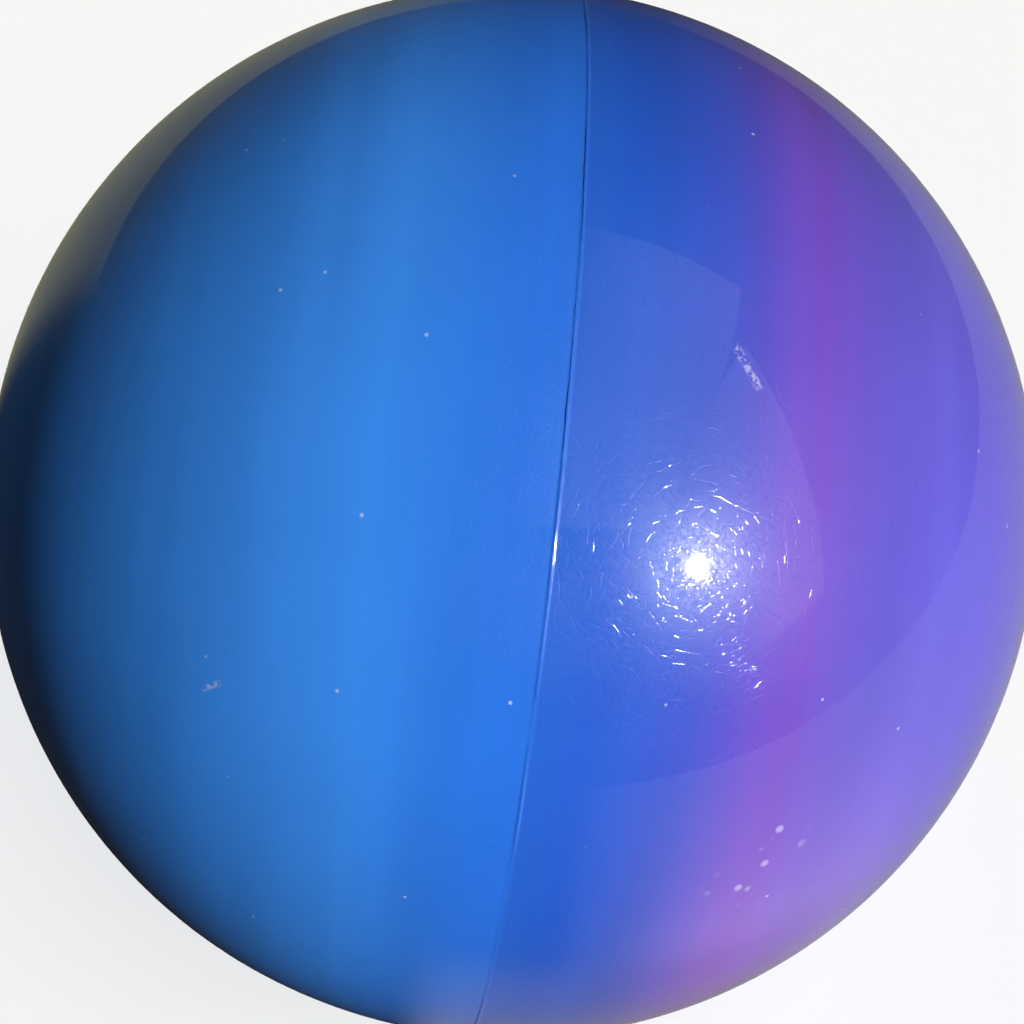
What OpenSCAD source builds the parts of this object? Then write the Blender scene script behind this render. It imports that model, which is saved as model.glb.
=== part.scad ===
// Stage juggling ball: a hollow vinyl shell with a push-in needle valve at one pole.
//
// Origin: the ball's centre. +X: the pole axis, out through the valve. +Z: up.
// The mould's parting plane is the YZ plane, so its ridge runs around the ball
// over the top, the front, the bottom and the back.

/* [Shell] */
// Diameter of the ball over the skin
ball_d = 100; // [62:1:180]
// Thickness of the skin
wall = 6; // [4:0.5:9]
// How far the thick pad inside the pole stands into the hollow
pad_h = 3; // [1:0.5:6]
// How far the pad's face reaches past the valve's lip
pad_w = 4.75; // [2:0.25:6]
// How far the pad's side flares out on its way through the wall
pad_flare = 6; // [0:0.5:9]

/* [Parting ridge] */
// Width of the ridge where it meets the skin
ridge_w = 0.4; // [0.2:0.05:1]
// Height of the ridge over the skin
ridge_h = 0.12; // [0.05:0.01:0.2]

/* [Needle channel] */
// Diameter of the channel, for a 2 mm pump needle
needle_d = 2.2; // [2:0.1:2.7]
// Depth of the lead-in cone at the mouth
lead_t = 0.5; // [0.3:0.1:0.8]
// How much wider the lead-in cone is at the mouth, on the radius
lead_w = 0.5; // [0.2:0.1:0.7]

/* [Valve core] */
// Thickness of the stem around the channel
stem_t = 1.1; // [0.8:0.1:1.5]
// How far the head reaches past the stem
head_w = 0.8; // [0.4:0.1:1.2]
// Thickness of the head
head_t = 1.2; // [0.8:0.1:1.5]
// How far the head lies below the top of the ball
head_drop = 0.25; // [0.1:0.05:0.4]
// Length of the cone that the stem ends in, past the bush
nose_l = 2.5; // [2:0.25:4]
// How much narrower the cone is at its tip, on the radius
nose_taper = 0.7; // [0.2:0.1:0.9]
// Thickness of the closed inner end, from the channel to the tip
end_t = 4; // [3:0.25:5]
// Gap between core and bush, on the radius
core_gap = 0.05; // [0.02:0.01:0.1]

/* [Valve bush] */
// Thickness of the shank around the core
shank_t = 1.75; // [1.25:0.25:3]
// How much the shell squeezes the shank, on the radius
squeeze = 0.05; // [0.02:0.01:0.1]
// Thickness of the flush flange, measured on its axis
flange_t = 2; // [1.5:0.25:3]
// How far the flange reaches past the shank
flange_w = 2; // [1:0.25:3]
// Thickness of the lip behind the pad
lip_t = 1.4; // [1:0.1:2]
// How far the lip reaches past the shank
lip_w = 1.25; // [0.75:0.25:2]

/* [Hidden] */
$fn = 96;
past = 1;  // how far a cut runs past what it cuts

ball_r = ball_d / 2;
cavity_r = ball_r - wall;

// Diameters, from the needle outwards.
stem_d = needle_d + 2 * stem_t;
head_d = stem_d + 2 * head_w;
hole_d = stem_d + 2 * core_gap + 2 * shank_t;
flange_d = hole_d + 2 * flange_w;
lip_d = hole_d + 2 * lip_w;
pad_d = lip_d + 2 * pad_w;

// Heights along the pole axis, from the ball's centre.
flange_seat = ball_r - flange_t;
pad_end = cavity_r - pad_h;
bush_end = pad_end - lip_t;
nose_end = bush_end - nose_l;
head_top = ball_r - head_drop;
head_seat = head_top - head_t;
lead_end = head_top - lead_t;
channel_end = nose_end + end_t;

// The ridge is the outer part of a ring. This radius makes its round section
// ridge_w wide where it is ridge_h below its top.
ridge_r = (ridge_w * ridge_w / 4 + ridge_h * ridge_h) / (2 * ridge_h);

// Turns what is drawn along +Z so that it points along +X.
module on_pole() {
    rotate([0, 90, 0]) children();
}

// A round bar on the pole axis between two heights.
module bar(low, high, d) {
    translate([0, 0, low]) cylinder(h = high - low, d = d);
}

// A cone on the pole axis between two heights.
module taper(low, high, low_d, high_d) {
    translate([0, 0, low]) cylinder(h = high - low, d1 = low_d, d2 = high_d);
}

// The hollow, less the pad that stands into it at the pole.
module hollow() {
    difference() {
        sphere(r = cavity_r);
        taper(pad_end, ball_r, pad_d, pad_d + 2 * pad_flare);
    }
}

module ridge() {
    rotate_extrude() translate([ball_r + ridge_h - ridge_r, 0]) circle(r = ridge_r);
}

module shell() {
    color("#3478DC") on_pole() difference() {
        union() {
            sphere(r = ball_r);
            ridge();
        }
        hollow();
        bar(pad_end - past, ball_r + past, hole_d);
        bar(flange_seat, ball_r + past, flange_d);
    }
}

// The flange's top is part of the ball's own sphere, so it lies flush.
module valve_bush() {
    color("#26262C") on_pole() difference() {
        union() {
            bar(bush_end, flange_seat + flange_t / 2, hole_d + 2 * squeeze);
            bar(bush_end, pad_end, lip_d);
            intersection() {
                bar(flange_seat, ball_r + past, flange_d);
                sphere(r = ball_r);
            }
        }
        bar(bush_end - past, ball_r + past, stem_d + 2 * core_gap);
        bar(head_seat, ball_r + past, head_d + 2 * core_gap);
    }
}

module valve_core() {
    color("#3E3E46") on_pole() difference() {
        union() {
            taper(nose_end, bush_end, stem_d - 2 * nose_taper, stem_d);
            bar(bush_end, head_seat, stem_d);
            bar(head_seat, head_top, head_d);
        }
        bar(channel_end, head_top + past, needle_d);
        taper(lead_end, head_top, needle_d, needle_d + 2 * lead_w);
    }
}

shell();
valve_bush();
valve_core();
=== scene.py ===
# %% [markdown]
# # A glossy stage juggling ball
# The ball is a hollow vinyl skin with a fine moulded ridge around its middle and a push-in
# needle valve at one pole. Every piece is turned: an outline is drawn in edit mode and spun
# about the pole axis, as on a lathe, and then it gets its finish. The fixed frame comes
# first, because it says where every piece goes. +X is the pole axis and +Z is up.

# %% Load the frame
import math

import bpy
from mathutils import Matrix, Vector


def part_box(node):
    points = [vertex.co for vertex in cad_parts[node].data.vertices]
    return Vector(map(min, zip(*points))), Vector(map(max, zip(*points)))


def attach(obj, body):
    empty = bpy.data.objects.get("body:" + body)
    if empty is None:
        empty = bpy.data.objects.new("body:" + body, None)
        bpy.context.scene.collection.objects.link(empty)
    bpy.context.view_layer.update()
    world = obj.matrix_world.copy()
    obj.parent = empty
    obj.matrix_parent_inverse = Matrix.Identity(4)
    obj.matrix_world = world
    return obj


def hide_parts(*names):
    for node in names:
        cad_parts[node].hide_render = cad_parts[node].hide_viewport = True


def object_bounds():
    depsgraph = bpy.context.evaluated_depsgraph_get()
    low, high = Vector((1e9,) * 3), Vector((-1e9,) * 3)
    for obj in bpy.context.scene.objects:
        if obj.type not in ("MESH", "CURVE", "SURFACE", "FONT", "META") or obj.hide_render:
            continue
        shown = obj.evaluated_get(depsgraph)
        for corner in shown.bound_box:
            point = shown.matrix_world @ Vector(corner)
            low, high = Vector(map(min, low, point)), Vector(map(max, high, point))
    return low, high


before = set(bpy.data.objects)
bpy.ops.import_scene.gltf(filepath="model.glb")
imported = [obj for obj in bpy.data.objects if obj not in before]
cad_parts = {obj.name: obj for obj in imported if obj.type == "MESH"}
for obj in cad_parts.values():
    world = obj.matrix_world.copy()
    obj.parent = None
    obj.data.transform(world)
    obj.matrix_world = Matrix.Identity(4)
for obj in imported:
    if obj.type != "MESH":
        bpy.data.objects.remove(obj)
cad_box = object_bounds()

# %% [markdown]
# The outer sizes are read from the frame's boxes, so the looks follow the design. The inner
# ones, which no box shows, are written here in millimetres, as a drawing would give them.

# %% Sizes
MM = 0.001
shell_low, shell_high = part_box("shell")
bush_low, bush_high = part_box("valve_bush")
core_low, core_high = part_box("valve_core")

BALL_R = -shell_low.x
RIDGE_H = shell_high.z - BALL_R
WALL = 6 * MM
PAD_END = BALL_R - WALL - 3 * MM
PAD_R = 10 * MM
PAD_FLARE = 6 * MM
HOLE_R = 4 * MM
FLANGE_R = bush_high.z
FLANGE_SEAT = BALL_R - 2 * MM
LIP_R = 5.25 * MM
BORE_R = 2.25 * MM
RECESS_R = 3.05 * MM
HEAD_R = core_high.z
HEAD_SEAT = core_high.x - 1.2 * MM
STEM_R = 2.2 * MM
NOSE_R = 1.5 * MM
CHANNEL_R = 1.1 * MM
CHANNEL_END = core_low.x + 4 * MM
LEAD_T = 0.5 * MM
print(f"ball radius {BALL_R / MM:.2f} mm, ridge {RIDGE_H / MM:.2f} mm high")

# %% [markdown]
# Turning a piece by hand in edit mode: one point is the pen. It is extruded to draw a
# straight stretch and spun to draw an arc, and each leaves the pen at its far end. The
# closed outline is then spun a full turn. The outline lies in the XZ plane, so a point's
# x is its place along the pole axis and its z is its distance from that axis.

# %% Lathe helpers
TOUCHING = 0.001 * MM


def start_outline(name, x, z):
    """Start a new piece as one point, ready to draw from."""
    bpy.ops.object.select_all(action="DESELECT")
    bpy.ops.mesh.primitive_plane_add(size=1 * MM, location=(x, 0, z))
    bpy.context.object.name = bpy.context.object.data.name = name
    bpy.ops.object.transform_apply(location=True, rotation=True, scale=True)
    bpy.ops.object.mode_set(mode="EDIT")
    bpy.ops.mesh.select_all(action="SELECT")
    bpy.ops.mesh.merge(type="CENTER")
    bpy.ops.mesh.select_mode(type="VERT")
    return [x, z]


def line_to(pen, x, z):
    """Extrude the pen in a straight line."""
    step = (x - pen[0], 0, z - pen[1])
    bpy.ops.mesh.extrude_region_move(TRANSFORM_OT_translate={"value": step})
    pen[:] = [x, z]


def arc_by(pen, angle, steps):
    """Spin the pen about the ball's centre; a positive angle goes towards +X over the top.
    The operator turns clockwise about its axis, so the axis points along -Y."""
    bpy.ops.mesh.spin(steps=steps, angle=angle, center=(0, 0, 0), axis=(0, -1, 0))
    x, z = pen
    cosine, sine = math.cos(angle), math.sin(angle)
    pen[:] = [x * cosine + z * sine, z * cosine - x * sine]


def close_outline():
    """Join the outline's two loose ends."""
    bpy.ops.mesh.select_all(action="SELECT")
    bpy.ops.mesh.remove_doubles(threshold=TOUCHING)


def turn_outline(steps):
    """Spin the whole outline about the pole axis, close it and face it outwards."""
    bpy.ops.mesh.select_all(action="SELECT")
    bpy.ops.mesh.spin(steps=steps, angle=2 * math.pi, center=(0, 0, 0), axis=(1, 0, 0))
    bpy.ops.mesh.select_all(action="SELECT")
    bpy.ops.mesh.remove_doubles(threshold=TOUCHING)
    bpy.ops.mesh.normals_make_consistent(inside=False)


tools = (start_outline, line_to, arc_by, close_outline, turn_outline)
print("lathe tools:", ", ".join(tool.__name__ for tool in tools))

# %% [markdown]
# The skin forms inside a closed two-part mould that rolls in an oven, so it is one piece:
# the ridge is where the mould's halves met and a knife trimmed the flash. The outline runs
# from one pole over the ridge to the valve's seat, down through the wall, around the thick
# pad behind it and back along the hollow. The rows are close together only at the ridge.

# %% Draw the shell's outline and turn it
RIDGE_BAND = math.radians(0.75)
BAND_ROWS = 20
SKIN_ROWS = 74
VALVE_SIDE_ROWS = 68
HOLLOW_ROWS = 48
TURN_STEPS = 256

hollow_r = BALL_R - WALL
seat_angle = math.asin(FLANGE_R / BALL_R)

pen = start_outline("ball_shell", -BALL_R, 0)
arc_by(pen, math.pi / 2 - RIDGE_BAND, SKIN_ROWS)
arc_by(pen, 2 * RIDGE_BAND, BAND_ROWS)
arc_by(pen, math.pi / 2 - RIDGE_BAND - seat_angle, VALVE_SIDE_ROWS)
line_to(pen, FLANGE_SEAT, FLANGE_R)
line_to(pen, FLANGE_SEAT, HOLE_R)
line_to(pen, PAD_END, HOLE_R)
line_to(pen, PAD_END, PAD_R)

# The pad's cone meets the hollow where its slanted side reaches the inner sphere. The
# length of that side's run along the axis solves a quadratic equation.
slope = PAD_FLARE / (BALL_R - PAD_END)
square = 1 + slope * slope
linear = PAD_END + slope * PAD_R
constant = PAD_END ** 2 + PAD_R ** 2 - hollow_r ** 2
run = (-linear + math.sqrt(linear * linear - square * constant)) / square
line_to(pen, PAD_END + run, PAD_R + slope * run)
arc_by(pen, -(math.pi - math.atan2(pen[1], pen[0])), HOLLOW_ROWS)
turn_outline(TURN_STEPS)
shell = bpy.context.object
print(f"the pad meets the hollow at {(PAD_END + run) / MM:.2f} mm along the axis")

# %% [markdown]
# By hand, a part of a mesh is picked with the mouse. A script picks it by a test of where
# its points are. What is picked can be put in a vertex group, so that a modifier works on
# it alone.

# %% Selection helpers
def select_where(piece, kind, test):
    """In edit mode, select the vertices, edges or faces whose list of points passes the test."""
    mode = {"vertices": "VERT", "edges": "EDGE", "polygons": "FACE"}[kind]
    bpy.ops.mesh.select_mode(type=mode)
    bpy.ops.mesh.select_all(action="DESELECT")
    bpy.ops.object.mode_set(mode="OBJECT")
    points = piece.data.vertices
    picked = 0
    for part in getattr(piece.data, kind):
        corners = [part.index] if kind == "vertices" else part.vertices
        if test([points[i].co for i in corners]):
            part.select = True
            picked += 1
    bpy.ops.object.mode_set(mode="EDIT")
    return picked


def name_selection(piece, group):
    """Put the selected points in a new vertex group, for a modifier to work on."""
    piece.vertex_groups.new(name=group)
    bpy.ops.object.vertex_group_assign()


faces = select_where(shell, "polygons", lambda points: points[0].x > PAD_END)
print("faces near the valve:", faces)

# %% [markdown]
# The trimmed flash is a hair of vinyl, 0.4 mm wide at its foot and 0.1 mm high. It needs
# points a quarter of a millimetre apart along it, but the rest of the skin doesn't, so only
# the edges that run around the ball inside the narrow band are divided.

# %% Divide the band around the middle
BAND_CUTS = 4
SPECK = 0.01 * MM
row_gap = BALL_R * 2 * RIDGE_BAND / BAND_ROWS


def in_band(point):
    """True on the outer skin within the band."""
    return abs(point.x) < BALL_R * RIDGE_BAND + SPECK and point.length > BALL_R - WALL / 2


def runs_around(points):
    """True for an edge of the band that keeps its place along the pole axis."""
    return all(in_band(p) for p in points) and abs(points[0].x - points[1].x) < SPECK


divided = select_where(shell, "edges", runs_around)
bpy.ops.mesh.subdivide(number_cuts=BAND_CUTS)
select_where(shell, "vertices", lambda points: in_band(points[0]))
name_selection(shell, "band")
print("edges divided:", divided)

# %% [markdown]
# Modifiers are applied once a step is done, so that the finished piece is plain mesh.

# %% Finishing helpers
def apply_all(piece):
    """Apply every modifier of a piece, in order."""
    bpy.ops.object.select_all(action="DESELECT")
    piece.select_set(True)
    bpy.context.view_layer.objects.active = piece
    for modifier in list(piece.modifiers):
        bpy.ops.object.modifier_apply(modifier=modifier.name)


def report(piece):
    """Print a piece's size and its number of triangles."""
    mesh = piece.data
    mesh.calc_loop_triangles()
    size = [round(v / MM, 2) for v in piece.dimensions]
    print(f"{piece.name}: {size} mm, {len(mesh.loop_triangles)} triangles")


print("modifiers waiting on the shell:", len(shell.modifiers))

# %% [markdown]
# The new points lie on straight chords, so a Cast modifier puts them back on the true
# sphere. The ridge is then the middle row of the band, scaled up from the ball's centre,
# with less and less on the rows beside it, so that its flanks slope down to the skin.

# %% Raise the ridge
CREST = 0.08 * MM
FLANKS = [1.0, 0.55, 0.12]

bpy.ops.object.mode_set(mode="OBJECT")
cast = shell.modifiers.new("true_sphere", "CAST")
cast.factor = 1
cast.size = BALL_R
cast.use_radius_as_size = False
cast.vertex_group = "band"
apply_all(shell)
bpy.ops.object.mode_set(mode="EDIT")

for row, share in enumerate(FLANKS):
    def on_row(points, row=row):
        return in_band(points[0]) and abs(abs(points[0].x) - row * row_gap) < row_gap / 4
    select_where(shell, "vertices", on_row)
    grow = 1 + CREST * share / BALL_R
    bpy.ops.transform.resize(value=(1, grow, grow), center_override=(0, 0, 0))

on_ridge = select_where(shell, "vertices",
                        lambda p: in_band(p[0]) and abs(p[0].x) < 1.5 * row_gap)
name_selection(shell, "ridge")
on_skin = select_where(shell, "vertices", lambda p: p[0].length > BALL_R - SPECK)
name_selection(shell, "skin")
bpy.ops.object.mode_set(mode="OBJECT")
print("points on the ridge:", on_ridge, "on the whole skin:", on_skin)

# %% [markdown]
# Nothing on a trimmed moulding is even. The knife leaves the ridge high in one place and
# nearly flush in the next, it wanders a little from side to side, and the skin itself pulls
# in and out by hundredths of a millimetre as it cools, which shows only in what it mirrors.
# Each of these is a Displace modifier with its own cloud texture, at its real scale. The
# corners of the valve's seat are rounded first, because a mould has no sharp edges.

# %% Make the skin and the ridge uneven
SMOOTH_UP_TO = math.radians(40)


def displace(piece, name, group, direction, size, strength, contrast=1.0):
    """Push a group of points in and out by a cloud pattern of this size."""
    cloud = bpy.data.textures.new(name, "CLOUDS")
    cloud.noise_scale = size
    cloud.noise_depth = 2
    cloud.contrast = contrast
    push = piece.modifiers.new(name, "DISPLACE")
    push.texture = cloud
    push.texture_coords = "LOCAL"
    push.vertex_group = group
    push.direction = direction
    push.strength = strength
    push.mid_level = 0.5


def round_corners(piece, width):
    """Round every sharp corner of a turned piece."""
    bevel = piece.modifiers.new("round_corners", "BEVEL")
    bevel.width = width
    bevel.segments = 2
    bevel.limit_method = "ANGLE"
    bevel.angle_limit = math.radians(45)


round_corners(shell, 0.12 * MM)
displace(shell, "skin_waves", "skin", "NORMAL", 16 * MM, 0.03 * MM)
displace(shell, "ridge_trimmed", "ridge", "NORMAL", 15 * MM, 0.09 * MM, contrast=2.5)
displace(shell, "ridge_torn", "ridge", "NORMAL", 1.6 * MM, 0.05 * MM)
displace(shell, "ridge_wander", "ridge", "X", 6 * MM, 0.08 * MM)
displace(shell, "ridge_ragged", "ridge", "X", 0.9 * MM, 0.04 * MM)
apply_all(shell)
bpy.ops.object.shade_smooth_by_angle(angle=SMOOTH_UP_TO)
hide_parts("shell")
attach(shell, "ball")
report(shell)

# %% [markdown]
# The bush is moulded in soft black rubber. Its flange lies flush in the skin, with a shallow
# ring pressed into its face, and a lip behind the pad keeps it from being pulled out. Its
# outline never touches the axis, so the turned piece is a ring with a hole right through.

# %% Turn the valve bush
FLANGE_GAP = 0.06 * MM
GROOVE_IN = 4.2 * MM
GROOVE_OUT = 4.6 * MM
GROOVE_T = 0.12 * MM
BUSH_STEPS = 144


def on_ball(radius):
    """Where the ball's surface is along the pole axis, at this distance from it."""
    return math.sqrt(BALL_R ** 2 - radius ** 2)


flange_r = FLANGE_R - FLANGE_GAP
pen = start_outline("bush_rubber", on_ball(flange_r), flange_r)
arc_by(pen, math.asin(flange_r / BALL_R) - math.asin(GROOVE_OUT / BALL_R), 3)
line_to(pen, on_ball(GROOVE_OUT) - GROOVE_T, GROOVE_OUT - GROOVE_T / 2)
line_to(pen, on_ball(GROOVE_IN) - GROOVE_T, GROOVE_IN + GROOVE_T / 2)
line_to(pen, on_ball(GROOVE_IN), GROOVE_IN)
arc_by(pen, math.asin(GROOVE_IN / BALL_R) - math.asin(RECESS_R / BALL_R), 2)
line_to(pen, HEAD_SEAT, RECESS_R)
line_to(pen, HEAD_SEAT, BORE_R)
line_to(pen, bush_low.x, BORE_R)
line_to(pen, bush_low.x, LIP_R)
line_to(pen, PAD_END, LIP_R)
line_to(pen, PAD_END, HOLE_R)
line_to(pen, FLANGE_SEAT, HOLE_R)
line_to(pen, FLANGE_SEAT, flange_r)
line_to(pen, on_ball(flange_r), flange_r)
close_outline()
turn_outline(BUSH_STEPS)
bpy.ops.object.mode_set(mode="OBJECT")
bush = bpy.context.object
round_corners(bush, 0.1 * MM)
apply_all(bush)
bpy.ops.object.shade_smooth_by_angle(angle=SMOOTH_UP_TO)
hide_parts("valve_bush")
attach(bush, "ball")
report(bush)

# %% [markdown]
# The core is the part that seals. A pump needle goes down its channel and parts a slit in
# the closed inner end, and the air inside presses the slit shut again. Its outline starts
# and ends on the axis, so it turns into a closed body. The slit is cut with a thin blade.

# %% Turn the valve core and slit its nose
CORE_STEPS = 96
BLADE = (3 * MM, 0.1 * MM, 1.8 * MM)

pen = start_outline("core_rubber", core_low.x, 0)
line_to(pen, core_low.x, NOSE_R)
line_to(pen, bush_low.x, STEM_R)
line_to(pen, HEAD_SEAT, STEM_R)
line_to(pen, HEAD_SEAT, HEAD_R)
line_to(pen, core_high.x, HEAD_R)
line_to(pen, core_high.x, CHANNEL_R + LEAD_T)
line_to(pen, core_high.x - LEAD_T, CHANNEL_R)
line_to(pen, CHANNEL_END, CHANNEL_R)
line_to(pen, CHANNEL_END, 0)
turn_outline(CORE_STEPS)
bpy.ops.object.mode_set(mode="OBJECT")
core = bpy.context.object
round_corners(core, 0.12 * MM)
apply_all(core)

bpy.ops.object.select_all(action="DESELECT")
bpy.ops.mesh.primitive_cube_add(size=1, location=(core_low.x, 0, 0), scale=BLADE)
blade = bpy.context.object
slit = core.modifiers.new("slit", "BOOLEAN")
slit.operation = "DIFFERENCE"
slit.object = blade
apply_all(core)
bpy.data.objects.remove(blade)
bpy.ops.object.shade_smooth_by_angle(angle=SMOOTH_UP_TO)
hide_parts("valve_core")
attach(core, "core")
report(core)

# %% [markdown]
# Materials. Colours are written as the sRGB hex values that a paint chart would give, and
# one function turns them into the linear values that a shader adds up. One more function
# adds a node with its settings and its inputs. An input that is a socket becomes a link,
# and so does one that is a node: it is linked from the first output that the node has in use.

# %% Colour and node helpers
def colour(code, alpha=1.0):
    """Linear colour from an sRGB hex code such as 3478DC."""
    made = []
    for start in (0, 2, 4):
        v = int(code[start:start + 2], 16) / 255
        made.append(v / 12.92 if v <= 0.04045 else ((v + 0.055) / 1.055) ** 2.4)
    return (*made, alpha)


def add_node(tree, kind, inputs=None, **settings):
    """Add one node, set what it needs and link the inputs that are nodes or sockets."""
    node = tree.nodes.new(kind)
    for name, value in settings.items():
        setattr(node, name, value)
    for name, value in (inputs or {}).items():
        if isinstance(value, bpy.types.Node):
            value = next(output for output in value.outputs if output.enabled)
        if isinstance(value, bpy.types.NodeSocket):
            tree.links.new(value, node.inputs[name])
        else:
            node.inputs[name].default_value = value
    return node


def start_material(name, piece):
    """A new empty node material on a piece: its node tree and its object coordinates."""
    material = bpy.data.materials.new(name)
    material.use_nodes = True
    tree = material.node_tree
    tree.nodes.clear()
    piece.data.materials.clear()
    piece.data.materials.append(material)
    place = add_node(tree, "ShaderNodeTexCoord").outputs["Object"]
    return tree, place


# A Mix node takes its two colours in its inputs 6 and 7.
COLOUR_A, COLOUR_B = 6, 7
print("azure in linear light:", [round(part, 3) for part in colour("3A8CF0")])

# %% [markdown]
# Sprayed vinyl under clear lacquer. The moulded skin is white PVC. It spins about its pole
# while an airbrush lays on bands of ink, so the colour depends only on the place along the
# pole axis: azure, royal blue at the ridge, violet, then periwinkle up to the valve. The
# tone steps down a little across the ridge. That step is painted shade, for the two halves
# mirroring the light a little differently there. The stops of the colour ramp are the
# bands' places, from -1 at one pole to 1 at the valve.

# %% Spray the bands
# The drop in tone between the stops at -0.003 and 0.003 is painted shade at the ridge.
BANDS = [
    (-1.00, "3A8CF0"), (-0.55, "3A8EF2"), (-0.36, "3D91F7"), (-0.25, "3C90F7"),
    (-0.18, "3686F0"), (-0.12, "307DEA"), (-0.06, "2C76E6"), (-0.003, "2A72E2"),
    (0.003, "2763CE"), (0.07, "245ACA"), (0.13, "2B57C6"), (0.18, "3453C3"),
    (0.23, "4150C0"), (0.28, "554CBE"), (0.33, "694ABC"), (0.375, "704ABD"),
    (0.43, "6750C1"), (0.50, "6156C5"), (0.60, "635BCD"), (0.70, "5F56D3"), (1.00, "584ED6"),
]

vinyl, place = start_material("sprayed_vinyl", shell)
axes = add_node(vinyl, "ShaderNodeSeparateXYZ", {"Vector": place})
along = add_node(vinyl, "ShaderNodeMath", {0: axes.outputs["X"], 1: BALL_R}, operation="DIVIDE")
along_ramp = add_node(vinyl, "ShaderNodeMapRange", {
    "Value": along, "From Min": -1.0, "From Max": 1.0})
ink = add_node(vinyl, "ShaderNodeValToRGB", {"Fac": along_ramp})
stops = ink.color_ramp.elements
while len(stops) < len(BANDS):
    stops.new(0.5)
for stop, (where, code) in zip(stops, BANDS):
    stop.position = (where + 1) / 2
    stop.color = colour(code)
print("bands of ink:", len(BANDS), "from", BANDS[0][1], "to", BANDS[-1][1])

# %% [markdown]
# No airbrush is even. The nozzle pulses, which leaves faint rings a few millimetres wide,
# and the ink pools in soft blotches. On the lower front of the violet side a pale lilac is
# mixed in. It is painted reflection, for the pale floor that the gloss mirrors there. The
# rings come from noise that is stretched around the pole axis.

# %% Streaks, blotches and a painted floor reflection
RING_GAP = 5 * MM
RING_REACH = 70 * MM
BLOTCH = 14 * MM
# Painted reflection of the pale floor: this lilac and its share are mixed into the lower front.
FLOOR_REFLECTION_LILAC = "AC70E2"
FLOOR_REFLECTION_SHARE = 0.44

stretched = add_node(vinyl, "ShaderNodeMapping", {
    "Vector": place, "Scale": (1 / RING_GAP, 1 / RING_REACH, 1 / RING_REACH)})
rings = add_node(vinyl, "ShaderNodeTexNoise", {"Vector": stretched, "Scale": 1.0, "Detail": 2.0})
rings = add_node(vinyl, "ShaderNodeMapRange", {
    "Value": rings, "From Min": 0.3, "From Max": 0.7, "To Min": 0.94, "To Max": 1.04},
    interpolation_type="SMOOTHSTEP")
blotches = add_node(vinyl, "ShaderNodeTexNoise", {
    "Vector": place, "Scale": 1 / BLOTCH, "Detail": 3.0})
blotches = add_node(vinyl, "ShaderNodeMapRange", {
    "Value": blotches, "From Min": 0.3, "From Max": 0.7, "To Min": -0.03, "To Max": 0.03},
    interpolation_type="SMOOTHSTEP")
shade = add_node(vinyl, "ShaderNodeMath", {0: rings, 1: blotches}, operation="ADD")
shade = add_node(vinyl, "ShaderNodeCombineColor", {0: shade, 1: shade, 2: shade})
ink = add_node(vinyl, "ShaderNodeMix", {0: 1.0, COLOUR_A: ink, COLOUR_B: shade},
               data_type="RGBA", blend_type="MULTIPLY")

# Painted reflection: the lower front of the violet side is mixed towards pale lilac, for the
# floor it would mirror.
lower = add_node(vinyl, "ShaderNodeMapRange", {
    "Value": axes.outputs["Z"], "From Min": 28 * MM, "From Max": -4 * MM},
    interpolation_type="SMOOTHSTEP")
past_blue = add_node(vinyl, "ShaderNodeMapRange", {
    "Value": along, "From Min": 0.16, "From Max": 0.44}, interpolation_type="SMOOTHSTEP")
before_pole = add_node(vinyl, "ShaderNodeMapRange", {
    "Value": along, "From Min": 0.80, "From Max": 0.50}, interpolation_type="SMOOTHSTEP")
painted_floor_reflection = add_node(vinyl, "ShaderNodeMath", {0: past_blue, 1: before_pole}, operation="MULTIPLY")
painted_floor_reflection = add_node(vinyl, "ShaderNodeMath", {0: lower, 1: painted_floor_reflection}, operation="MULTIPLY")
painted_floor_reflection = add_node(vinyl, "ShaderNodeMath", {0: painted_floor_reflection, 1: FLOOR_REFLECTION_SHARE}, operation="MULTIPLY")
ink = add_node(vinyl, "ShaderNodeMix", {0: painted_floor_reflection, COLOUR_A: ink, COLOUR_B: colour(FLOOR_REFLECTION_LILAC)},
               data_type="RGBA")
print(f"rings {RING_GAP / MM:.0f} mm wide, blotches {BLOTCH / MM:.0f} mm across")

# %% [markdown]
# A stage ball is dropped and rolled on the floor, so its gloss is full of fine scratches.
# They are hardly seen until a lamp is near: then those that lie across the light flash, and
# together they make the glow around the bright spot. A Voronoi texture gives each cell a
# centre and a random colour. Taken as a direction, that colour turns one straight scratch
# through the centre of its cell. Real scratches are 0.01 to 0.03 mm wide; these are drawn
# 0.07 to 0.09 mm wide, because finer ones would not show.

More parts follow.
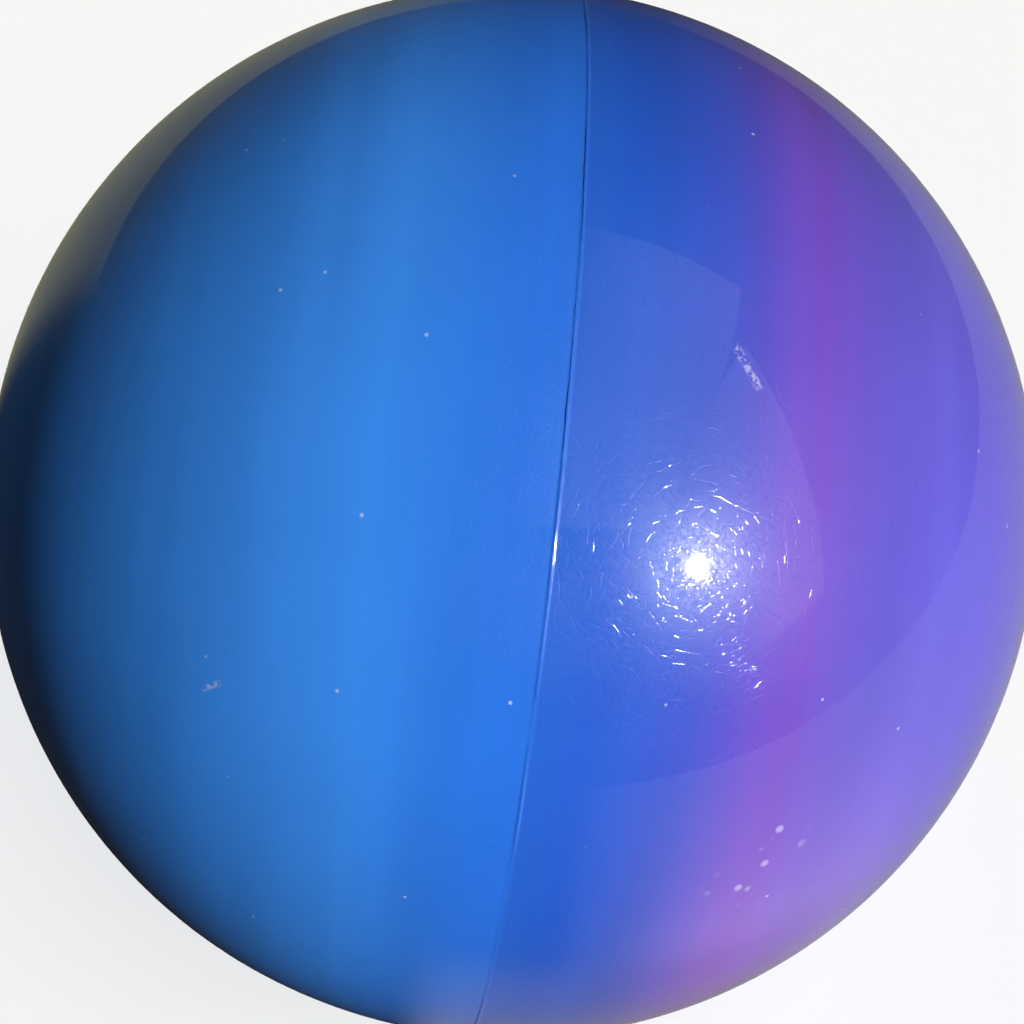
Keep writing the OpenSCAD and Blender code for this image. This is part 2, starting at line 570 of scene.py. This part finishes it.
# %% Scratches and specks
def scratches(tree, place, cell, length, width, share, across=(0, 0, 0)):
    """Short straight scratches, at most one in a cell: 1 inside one. They are turned at
    random, or mostly across a direction where one is given."""
    cells = add_node(tree, "ShaderNodeTexVoronoi", {"Vector": place, "Scale": 1 / cell})
    centre = cells.outputs["Position"]
    reach = add_node(tree, "ShaderNodeVectorMath", {0: place, 1: centre}, operation="SUBTRACT")
    centred = tuple(0.5 - part for part in across)
    way = add_node(tree, "ShaderNodeVectorMath", {0: cells.outputs["Color"], 1: centred},
                   operation="SUBTRACT")
    way = add_node(tree, "ShaderNodeVectorMath", {0: way}, operation="NORMALIZE")
    off = add_node(tree, "ShaderNodeVectorMath", {0: reach, 1: way}, operation="DOT_PRODUCT")
    off = add_node(tree, "ShaderNodeMath", {0: off}, operation="ABSOLUTE")
    line = add_node(tree, "ShaderNodeMapRange", {
        "Value": off, "From Min": 0.15 * width, "From Max": 0.5 * width,
        "To Min": 1.0, "To Max": 0.0}, interpolation_type="SMOOTHSTEP")
    ends = add_node(tree, "ShaderNodeMapRange", {
        "Value": cells.outputs["Distance"], "From Min": 0.35 * length / cell,
        "From Max": 0.5 * length / cell, "To Min": 1.0, "To Max": 0.0},
        interpolation_type="SMOOTHSTEP")
    chance = add_node(tree, "ShaderNodeTexWhiteNoise", {"Vector": centre})
    there = add_node(tree, "ShaderNodeMath", {0: chance, 1: share}, operation="LESS_THAN")
    mark = add_node(tree, "ShaderNodeMath", {0: line, 1: ends}, operation="MULTIPLY")
    return add_node(tree, "ShaderNodeMath", {0: mark, 1: there}, operation="MULTIPLY")


def specks(tree, place, cell, radius, share):
    """Round specks, at most one in a cell: 1 inside one."""
    cells = add_node(tree, "ShaderNodeTexVoronoi", {"Vector": place, "Scale": 1 / cell})
    spot = add_node(tree, "ShaderNodeMapRange", {
        "Value": cells, "From Min": 0.4 * radius / cell, "From Max": radius / cell,
        "To Min": 1.0, "To Max": 0.0}, interpolation_type="SMOOTHSTEP")
    chance = add_node(tree, "ShaderNodeTexWhiteNoise", {"Vector": cells.outputs["Position"]})
    there = add_node(tree, "ShaderNodeMath", {0: chance, 1: share}, operation="LESS_THAN")
    return add_node(tree, "ShaderNodeMath", {0: spot, 1: there}, operation="MULTIPLY")


print("patterns:", scratches.__name__, specks.__name__)

# %% [markdown]
# Four layers of scratches lie over each other, from hairs under a millimetre long to the
# 9 mm strokes of a careless wipe. Real strokes aren't quite straight, so the place that all
# but the finest are drawn at is first bent a little by a soft noise. The dust is a few pale
# specks, at most one in a cell of 2.5 mm.

# %% Scratches and dust in the lacquer
# Cell, length and width in millimetres, and the share of cells that hold a scratch.
SCRATCH_LAYERS = [(0.8, 1.3, 0.07, 0.8), (1.6, 2.6, 0.08, 0.8), (6, 9, 0.09, 0.7)]
FINEST_DEPTH = 0.7
DUST_SHARE = 0.5

wobble = add_node(vinyl, "ShaderNodeTexNoise", {"Vector": place, "Scale": 1 / (4 * MM)})
wobble = add_node(vinyl, "ShaderNodeVectorMath", {
    0: wobble.outputs["Color"], "Scale": 0.8 * MM}, operation="SCALE")
bent = add_node(vinyl, "ShaderNodeVectorMath", {0: place, 1: wobble}, operation="ADD")

finest = scratches(vinyl, place, 0.5 * MM, 0.8 * MM, 0.07 * MM, 0.9)
worn = add_node(vinyl, "ShaderNodeMath", {0: finest, 1: FINEST_DEPTH}, operation="MULTIPLY")
for cell, length, width, share in SCRATCH_LAYERS:
    layer = scratches(vinyl, bent, cell * MM, length * MM, width * MM, share)
    worn = add_node(vinyl, "ShaderNodeMath", {0: worn, 1: layer}, operation="ADD")
dust = specks(vinyl, place, 2.5 * MM, 0.2 * MM, 0.24)
dust = add_node(vinyl, "ShaderNodeMath", {0: dust, 1: DUST_SHARE}, operation="MULTIPLY")
ink = add_node(vinyl, "ShaderNodeMix", {0: dust, COLOUR_A: ink, COLOUR_B: colour("DCE4F6")},
               data_type="RGBA")
print("layers of scratches:", 1 + len(SCRATCH_LAYERS))

# %% [markdown]
# Some marks have a place. Where the ball skidded there is a track a few millimetres wide,
# full of short scratches that run across it, and where it was struck there is a small pale
# scuff. A patch of small raised beads, where bubbles of air rose in the lacquer, lies low at
# the right. Their pale colour is painted highlight, the glints of light off them. Each is a
# stretch between two points on the skin, given in millimetres; a point belongs to it if it is
# near the straight line between them.

# %% Where the marks are
# Both ends of the stretch and its width, in millimetres.
TRACKS = [
    ((9.9, -34.2, 35.1), (16.6, -38.6, 27.0), 1.5),
    ((-10.7, 41.8, -25.2), (-5.4, 38.4, -31.6), 1.8),
    ((36.1, 27.1, 21.4), (41.4, 23.7, 15.1), 1.2),
    ((-36.2, -34.1, -5.1), (-31.0, -37.5, -11.5), 1.4),
]
SCUFFS = [
    ((11.3, -20.1, 44.3), (13.6, -22.7, 42.4), 0.45),
    ((-22.0, -38.5, 23.2), (-23.5, -38.4, 21.8), 0.30),
    ((30.0, 38.2, 12.0), (31.0, 38.0, 9.5), 0.40),
]
BEADS = ((21.7, -41.4, 17.8), (16.2, -46.0, 10.8), 3.2)
SKID_WAY = (0.588, -0.386, -0.711)
SKID_STRAIGHT = 1.2
SKID_DEPTH = 1.6
CHALK_SHARE = 0.5
# Share of painted highlight, the pale glint colour, on the beads.
BEAD_GLINT_SHARE = 0.45


def near_stretch(tree, place, start, end, width):
    """1 near the straight stretch between two points, fading at its sides and ends."""
    first, last = Vector(start) * MM, Vector(end) * MM
    middle, way = (first + last) / 2, (last - first).normalized()
    half = (last - first).length / 2
    reach = add_node(tree, "ShaderNodeVectorMath", {0: place, 1: middle}, operation="SUBTRACT")
    run = add_node(tree, "ShaderNodeVectorMath", {0: reach, 1: way}, operation="DOT_PRODUCT")
    foot = add_node(tree, "ShaderNodeVectorMath", {0: way, "Scale": run}, operation="SCALE")
    side = add_node(tree, "ShaderNodeVectorMath", {0: reach, 1: foot}, operation="DISTANCE")
    run = add_node(tree, "ShaderNodeMath", {0: run}, operation="ABSOLUTE")
    ends = add_node(tree, "ShaderNodeMapRange", {
        "Value": run, "From Min": half, "From Max": 0.7 * half}, interpolation_type="SMOOTHSTEP")
    sides = add_node(tree, "ShaderNodeMapRange", {
        "Value": side, "From Min": width * MM, "From Max": 0.3 * width * MM},
        interpolation_type="SMOOTHSTEP")
    return add_node(tree, "ShaderNodeMath", {0: ends, 1: sides}, operation="MULTIPLY")


print("marks with a place:", len(TRACKS) + len(SCUFFS) + 1)

# %% [markdown]
# In a skid track the scratches are pushed towards one direction, so most of them lie across
# it, and they are cut deeper than the random ones.

# %% Skid tracks
across = tuple(SKID_STRAIGHT * part for part in SKID_WAY)
marks = scratches(vinyl, bent, 0.6 * MM, 1.5 * MM, 0.09 * MM, 0.95, across=across)
for start, end, width in TRACKS:
    track = near_stretch(vinyl, place, start, end, width)
    part = add_node(vinyl, "ShaderNodeMath", {0: marks, 1: track}, operation="MULTIPLY")
    worn = add_node(vinyl, "ShaderNodeMath", {0: part, 1: SKID_DEPTH, 2: worn},
                    operation="MULTIPLY_ADD")
print("skid tracks:", len(TRACKS))

# %% [markdown]
# A scuff is chalky: the lacquer is broken into crumbs of 0.3 mm, which scatter the light and
# look pale. A bead is the opposite of a scratch, a spot that stands up, and its pale colour
# is a painted glint of light.

# %% Scuffs, and beads with painted glints
crumbs = add_node(vinyl, "ShaderNodeTexNoise", {
    "Vector": place, "Scale": 1 / (0.3 * MM), "Detail": 2.0})
broken = add_node(vinyl, "ShaderNodeMapRange", {
    "Value": crumbs, "From Min": 0.42, "From Max": 0.58}, interpolation_type="SMOOTHSTEP")
for start, end, width in SCUFFS:
    chalky = add_node(vinyl, "ShaderNodeMath", {
        0: near_stretch(vinyl, place, start, end, width), 1: broken}, operation="MULTIPLY")
    pale = add_node(vinyl, "ShaderNodeMath", {0: chalky, 1: CHALK_SHARE}, operation="MULTIPLY")
    ink = add_node(vinyl, "ShaderNodeMix", {0: pale, COLOUR_A: ink, COLOUR_B: colour("CFCBEE")},
                   data_type="RGBA")
    worn = add_node(vinyl, "ShaderNodeMath", {0: worn, 1: chalky}, operation="ADD")

beads = add_node(vinyl, "ShaderNodeMath", {
    0: specks(vinyl, bent, 1.3 * MM, 0.48 * MM, 0.8), 1: near_stretch(vinyl, place, *BEADS)},
    operation="MULTIPLY")
# Painted highlight: the beads' pale colour stands in for light glinting off them. Their bump,
# below, is real.
pale = add_node(vinyl, "ShaderNodeMath", {0: beads, 1: BEAD_GLINT_SHARE}, operation="MULTIPLY")
ink = add_node(vinyl, "ShaderNodeMix", {0: pale, COLOUR_A: ink, COLOUR_B: colour("DCD2F8")},
               data_type="RGBA")
worn = add_node(vinyl, "ShaderNodeMath", {0: worn, 1: beads}, operation="SUBTRACT")
print("scuffs:", len(SCUFFS), "and a patch of beads", BEADS[2], "mm wide")

# %% [markdown]
# The shader. The ink itself is half matt, roughness about 0.37 and a little uneven. The
# lacquer over it is a hard clear coat, IOR 1.5, smooth enough to mirror a lamp sharply, and
# the scratches cut a few thousandths of a millimetre into it. Both layers share that bump.

# %% Vinyl shader
SMUDGE = 9 * MM
SCRATCH_DEPTH = 0.0035 * MM

smudges = add_node(vinyl, "ShaderNodeTexNoise", {
    "Vector": place, "Scale": 1 / SMUDGE, "Detail": 3.0})
smudges = add_node(vinyl, "ShaderNodeMapRange", {
    "Value": smudges, "From Min": 0.3, "From Max": 0.7, "To Min": 0.32, "To Max": 0.42},
    interpolation_type="SMOOTHSTEP")
grit = add_node(vinyl, "ShaderNodeMapRange", {
    "Value": crumbs, "From Min": 0.3, "From Max": 0.7, "To Min": -0.05, "To Max": 0.05},
    interpolation_type="SMOOTHSTEP")
roughness = add_node(vinyl, "ShaderNodeMath", {0: smudges, 1: grit}, operation="ADD")
cuts = add_node(vinyl, "ShaderNodeBump", {
    "Height": worn, "Distance": SCRATCH_DEPTH, "Strength": 1.0}, invert=True)
body = add_node(vinyl, "ShaderNodeBsdfPrincipled", {
    "Base Color": ink, "Roughness": roughness, "IOR": 1.5, "Specular IOR Level": 0.25,
    "Normal": cuts, "Coat Weight": 1.0, "Coat Roughness": 0.035, "Coat IOR": 1.5,
    "Coat Normal": cuts})
add_node(vinyl, "ShaderNodeOutputMaterial", {"Surface": body})
print("nodes in the vinyl:", len(vinyl.nodes))

# %% [markdown]
# Moulded rubber. The bush is black nitrile rubber and the core a softer grey one. Both come
# from spark-eroded moulds, which leave a fine even grain, and rubber that is handled turns
# paler and duller where talc and dust lie in that grain. Rubber has IOR 1.52 and no shine.

# %% Rubber shader
def rubber(name, piece, base, dusty, rough):
    """Matt rubber with a moulded grain and dust in it."""
    tree, place = start_material(name, piece)
    grain = add_node(tree, "ShaderNodeTexNoise", {
        "Vector": place, "Scale": 1 / (0.12 * MM), "Detail": 2.0})
    cloudy = add_node(tree, "ShaderNodeTexNoise", {
        "Vector": place, "Scale": 1 / (2.5 * MM), "Detail": 4.0})
    dust = add_node(tree, "ShaderNodeMapRange", {
        "Value": cloudy, "From Min": 0.42, "From Max": 0.68}, interpolation_type="SMOOTHSTEP")
    hollows = add_node(tree, "ShaderNodeMapRange", {
        "Value": grain, "From Min": 0.5, "From Max": 0.3}, interpolation_type="SMOOTHSTEP")
    dust = add_node(tree, "ShaderNodeMath", {0: dust, 1: hollows}, operation="MULTIPLY")
    pale = add_node(tree, "ShaderNodeMath", {0: dust, 1: 0.5}, operation="MULTIPLY")
    tint = add_node(tree, "ShaderNodeMix", {
        0: pale, COLOUR_A: colour(base), COLOUR_B: colour(dusty)}, data_type="RGBA")
    dull = add_node(tree, "ShaderNodeMapRange", {
        "Value": cloudy, "From Min": 0.3, "From Max": 0.7,
        "To Min": rough - 0.06, "To Max": rough + 0.08}, interpolation_type="SMOOTHSTEP")
    dull = add_node(tree, "ShaderNodeMath", {0: dust, 1: 0.15, 2: dull}, operation="MULTIPLY_ADD")
    skin = add_node(tree, "ShaderNodeBump", {
        "Height": grain, "Distance": 0.03 * MM, "Strength": 0.8})
    matt = add_node(tree, "ShaderNodeBsdfPrincipled", {
        "Base Color": tint, "Roughness": dull, "IOR": 1.52, "Normal": skin})
    add_node(tree, "ShaderNodeOutputMaterial", {"Surface": matt})
    print(f"{name}: roughness {rough - 0.06:.2f} to {rough + 0.08:.2f}, duller in the dust")


rubber("black_nitrile_rubber", bush, "222226", "56565E", 0.52)
rubber("soft_grey_rubber", core, "3E3E46", "74747E", 0.62)

# %% [markdown]
# The stage. The paper under the ball is pale and even: a broad lamp at an endless distance
# lights only the paper, so the ball keeps a soft shadow, and a dome of the same tone closes
# the horizon. Neither is mirrored or bounced, because a glossy ball shows what stands
# around it, and in a studio that is shaped with cards which are kept out of view.

# %% Pale floor and backdrop
PAPER = "F0F0EE"
STAGE_R = 6.0
DOME_GLOW = 1.04
floor_z = cad_box[0].z


def add_stage(name, seen_by_camera):
    """Name the active object as part of the stage and start its plain material."""
    thing = bpy.context.object
    thing.name = name
    thing.visible_camera = seen_by_camera
    thing.visible_diffuse = not seen_by_camera
    thing.visible_glossy = not seen_by_camera
    thing.visible_shadow = False
    tree, place = start_material(name, thing)
    return thing, tree, place


bpy.ops.object.select_all(action="DESELECT")
bpy.ops.mesh.primitive_circle_add(vertices=64, radius=STAGE_R, fill_type="NGON",
                                  location=(0, 0, floor_z))
floor, tree, _ = add_stage("floor", True)
paper = add_node(tree, "ShaderNodeBsdfDiffuse", {"Color": colour(PAPER)})
add_node(tree, "ShaderNodeOutputMaterial", {"Surface": paper})

bpy.ops.mesh.primitive_uv_sphere_add(segments=48, ring_count=24, radius=STAGE_R)
_, tree, _ = add_stage("backdrop", True)
glow = add_node(tree, "ShaderNodeEmission", {"Color": colour(PAPER), "Strength": DOME_GLOW})
add_node(tree, "ShaderNodeOutputMaterial", {"Surface": glow})
print(f"floor {floor_z / MM:.2f} mm below the centre, stage radius {STAGE_R} m")

# %% [markdown]
# The cards lie flat around the ball and reach to where the floor would end. Pale grey ones
# at the right and behind give the gloss its bright rim with a clear horizon, and black ones
# at the front and left keep the other limb deep. Their tone depends on the direction.

# %% Cards that the gloss sees
CARD_R = 0.8
CARD_DROP = 0.2 * MM
# Direction in degrees and tone. 0 is the front, -Y, and 90 is +X.
CARD_TONES = [
    (-180, 0.02), (-165, 0.19), (-127, 0.21), (-119, 0.01), (12, 0.02), (22, 0.40),
    (34, 0.68), (50, 0.52), (72, 0.33), (100, 0.35), (150, 0.25), (170, 0.05), (180, 0.02),
]
CARD_WARMTH = {-165: 0.5, -127: 0.5}
CLOSE_TONE = (0.27, 0.245, 0.22, 1)

# They lie a hair under the paper, so that the paper itself never meets them.
bpy.ops.mesh.primitive_circle_add(vertices=96, radius=CARD_R, fill_type="NGON",
                                  location=(0, 0, floor_z - CARD_DROP))
_, tree, place = add_stage("cards", False)
# A radial gradient runs from 0 to 1 with the angle from -X, so it is turned to start at +Y.
turned = add_node(tree, "ShaderNodeMapping", {
    "Vector": place, "Rotation": (0, 0, math.radians(90))})
around = add_node(tree, "ShaderNodeTexGradient", {"Vector": turned}, gradient_type="RADIAL")
around = around.outputs["Fac"]
tones = add_node(tree, "ShaderNodeValToRGB", {"Fac": around})
stops = tones.color_ramp.elements
while len(stops) < len(CARD_TONES):
    stops.new(0.5)
for stop, (azimuth, tone) in zip(stops, CARD_TONES):
    stop.position = (azimuth + 180) / 360
    stop.color = (tone, tone * 0.97, tone * CARD_WARMTH.get(azimuth, 0.95), 1)
# Close to the ball, in front and at the right, a paler card lies over the black one.
away = add_node(tree, "ShaderNodeVectorMath", {0: place}, operation="LENGTH")
close = add_node(tree, "ShaderNodeMapRange", {
    "Value": away, "From Min": 72 * MM, "From Max": 100 * MM, "To Min": 1.0, "To Max": 0.0},
    interpolation_type="SMOOTHSTEP")
from_front = add_node(tree, "ShaderNodeMapRange", {
    "Value": around, "From Min": 0.47, "From Max": 0.50}, interpolation_type="SMOOTHSTEP")
to_right = add_node(tree, "ShaderNodeMapRange", {
    "Value": around, "From Min": 0.72, "From Max": 0.62}, interpolation_type="SMOOTHSTEP")
close = add_node(tree, "ShaderNodeMath", {0: close, 1: from_front}, operation="MULTIPLY")
close = add_node(tree, "ShaderNodeMath", {0: close, 1: to_right}, operation="MULTIPLY")
tone = add_node(tree, "ShaderNodeMix", {0: close, COLOUR_A: tones, COLOUR_B: CLOSE_TONE},
                data_type="RGBA")
glow = add_node(tree, "ShaderNodeEmission", {"Color": tone})
add_node(tree, "ShaderNodeOutputMaterial", {"Surface": glow})
print("cards reach", CARD_R, "m, brightest tone", max(tone for azimuth, tone in CARD_TONES))

# %% [markdown]
# Two more cards stand far off: the faces of a window and of a softbox, given by the
# directions of their corners. Each is clear at its right edge and fades to the left.

# %% Bright faces that the gloss mirrors
FACES = {
    "window_face": (0.60, ((-0.096, -0.681, 0.726), (0.417, -0.596, 0.687),
                           (0.020, 0.322, 0.947), (0.556, 0.245, 0.794))),
    "softbox_face": (0.70, ((0.681, -0.698, 0.222), (0.879, -0.395, 0.268),
                            (0.359, -0.539, 0.763), (0.594, 0.062, 0.802))),
}
FACE_FAR = 3.0
FACE_GAP = 0.2

for count, (name, (tone, corners)) in enumerate(FACES.items()):
    bpy.ops.object.select_all(action="DESELECT")
    bpy.ops.mesh.primitive_plane_add(size=1)
    face, tree, _ = add_stage(name, False)
    face.visible_diffuse = False
    for point, corner in zip(face.data.vertices, corners):
        point.co = Vector(corner).normalized() * (FACE_FAR + FACE_GAP * count)
    spread = add_node(tree, "ShaderNodeTexCoord").outputs["UV"]
    sideways = add_node(tree, "ShaderNodeSeparateXYZ", {"Vector": spread})
    strength = add_node(tree, "ShaderNodeMapRange", {
        "Value": sideways, "From Min": 0.0, "From Max": 0.5, "To Min": 0.0, "To Max": tone},
        interpolation_type="SMOOTHSTEP")
    glow = add_node(tree, "ShaderNodeEmission", {"Strength": strength})
    add_node(tree, "ShaderNodeOutputMaterial", {"Surface": glow})
    print(f"{name}: tone {tone}, {FACE_FAR + FACE_GAP * count:.1f} m away")

# %% [markdown]
# A lamp is placed by the direction that it shines from, and its power is worked out from
# how bright it has to be on the ball. Light linking gives each lamp a list of the things
# that it lights, so the ball and the paper can each be lit as they need.

# %% Lamp helpers
def direction(azimuth, elevation):
    """Unit vector from the ball; azimuth 0 is the front, -Y, and 90 is +X."""
    a, e = math.radians(azimuth), math.radians(elevation)
    return Vector((math.sin(a) * math.cos(e), -math.cos(a) * math.cos(e), math.sin(e)))


def only_lights(lamp, *things):
    """Let a lamp light these objects and nothing else."""
    group = bpy.data.collections.new(f"lit_by_{lamp.name}")
    for thing in things:
        group.objects.link(thing)
    lamp.light_linking.receiver_collection = group


def add_lamp(name, azimuth, elevation, size, irradiance, mirrored=False):
    """A round lamp 1 m from the ball and aimed at it, as bright as gives this irradiance
    there. With no distance to fall off over, its power is pi times that."""
    data = bpy.data.lights.new(name, "AREA")
    data.shape = "DISK"
    data.size = size
    data.energy = irradiance * math.pi
    lamp = bpy.data.objects.new(name, data)
    bpy.context.collection.objects.link(lamp)
    way = direction(azimuth, elevation)
    lamp.location = way
    lamp.rotation_euler = way.to_track_quat("Z", "Y").to_euler()
    lamp.visible_glossy = mirrored
    only_lights(lamp, shell, bush, core)
    print(f"{name}: from {azimuth}, {elevation} degrees, {irradiance} W/m2")


print("straight up is", [round(part, 3) for part in direction(0, 90)])

# %% [markdown]
# A small hard lamp at the right gives the bright spot and most of the light, and it is the
# only one that the gloss mirrors. Five broad ones open up the rest: the light of the window
# and of the softbox, a weak fill at the front left, one behind, and one low behind, for
# what the paper would throw back. All of them light only the ball and its valve.

# %% Lamps on the ball
add_lamp("key", 41, 34.4, 0.07, 3.5, mirrored=True)
add_lamp("window", 84, 67, 0.7, 0.22)
add_lamp("softbox", 53, 33, 0.8, 0.35)
add_lamp("fill", -30, 10, 0.8, 0.045)
add_lamp("back", 150, -8, 0.8, 0.7)
add_lamp("bounce", -153, -27, 1.2, 2.8)
print("lamps on the ball:", len(bpy.data.lights))

# %% [markdown]
# Two suns light the paper alone. The weaker one gives it the ball's soft shadow and the
# stronger one, which throws none, keeps it even. The room adds a trace of light all round.

# %% Light on the paper and in the room
def add_sun(name, strength):
    """A lamp at an endless distance that lights the paper alone."""
    sun = bpy.data.objects.new(name, bpy.data.lights.new(name, "SUN"))
    bpy.context.collection.objects.link(sun)
    sun.data.energy = strength
    only_lights(sun, floor)
    return sun


paper_lamp = add_sun("paper_lamp", 0.9)
paper_lamp.data.angle = math.radians(60)
paper_lamp.rotation_euler = direction(41, 60).to_track_quat("Z", "Y").to_euler()
even_lamp = add_sun("even_lamp", 2.5)
even_lamp.data.use_shadow = False

world = bpy.data.worlds.new("dim_room")
bpy.context.scene.world = world
world.use_nodes = True
room = world.node_tree.nodes["Background"]
room.inputs["Color"].default_value = (1, 1, 1, 1)
room.inputs["Strength"].default_value = 0.025
print("paper lit by", paper_lamp.name, "and", even_lamp.name)

# %% [markdown]
# The camera looks down on the ball from the front, three ball radii from its centre, rolled
# a little so that the ridge leans. That near, the perspective hides the ball's far rim.
# The Standard view shows the colours as they are mixed, with no film curve over them.

# %% Camera
AZIMUTH, ELEVATION, ROLL = -5.4, 49.5, 10.2
HALF_VIEW = 0.3444
RADII_AWAY = 3

toward = direction(AZIMUTH, ELEVATION)
camera_data = bpy.data.cameras.new("camera")
camera_data.lens = camera_data.sensor_width / 2 / HALF_VIEW
camera_data.clip_start = 0.01
camera = bpy.data.objects.new("camera", camera_data)
bpy.context.collection.objects.link(camera)
camera.location = toward * RADII_AWAY * BALL_R
turn = toward.to_track_quat("Z", "Y").to_matrix() @ Matrix.Rotation(math.radians(ROLL), 3, "Z")
camera.rotation_euler = turn.to_euler()
bpy.context.scene.camera = camera
bpy.context.scene.view_settings.view_transform = "Standard"
print("right", [round(v, 3) for v in turn.col[0]], "up", [round(v, 3) for v in turn.col[1]])

# %% [markdown]
# Last, the design's box is printed.

# %% Sizes and finish
print("design box", [[round(v / MM, 2) for v in corner] for corner in cad_box])
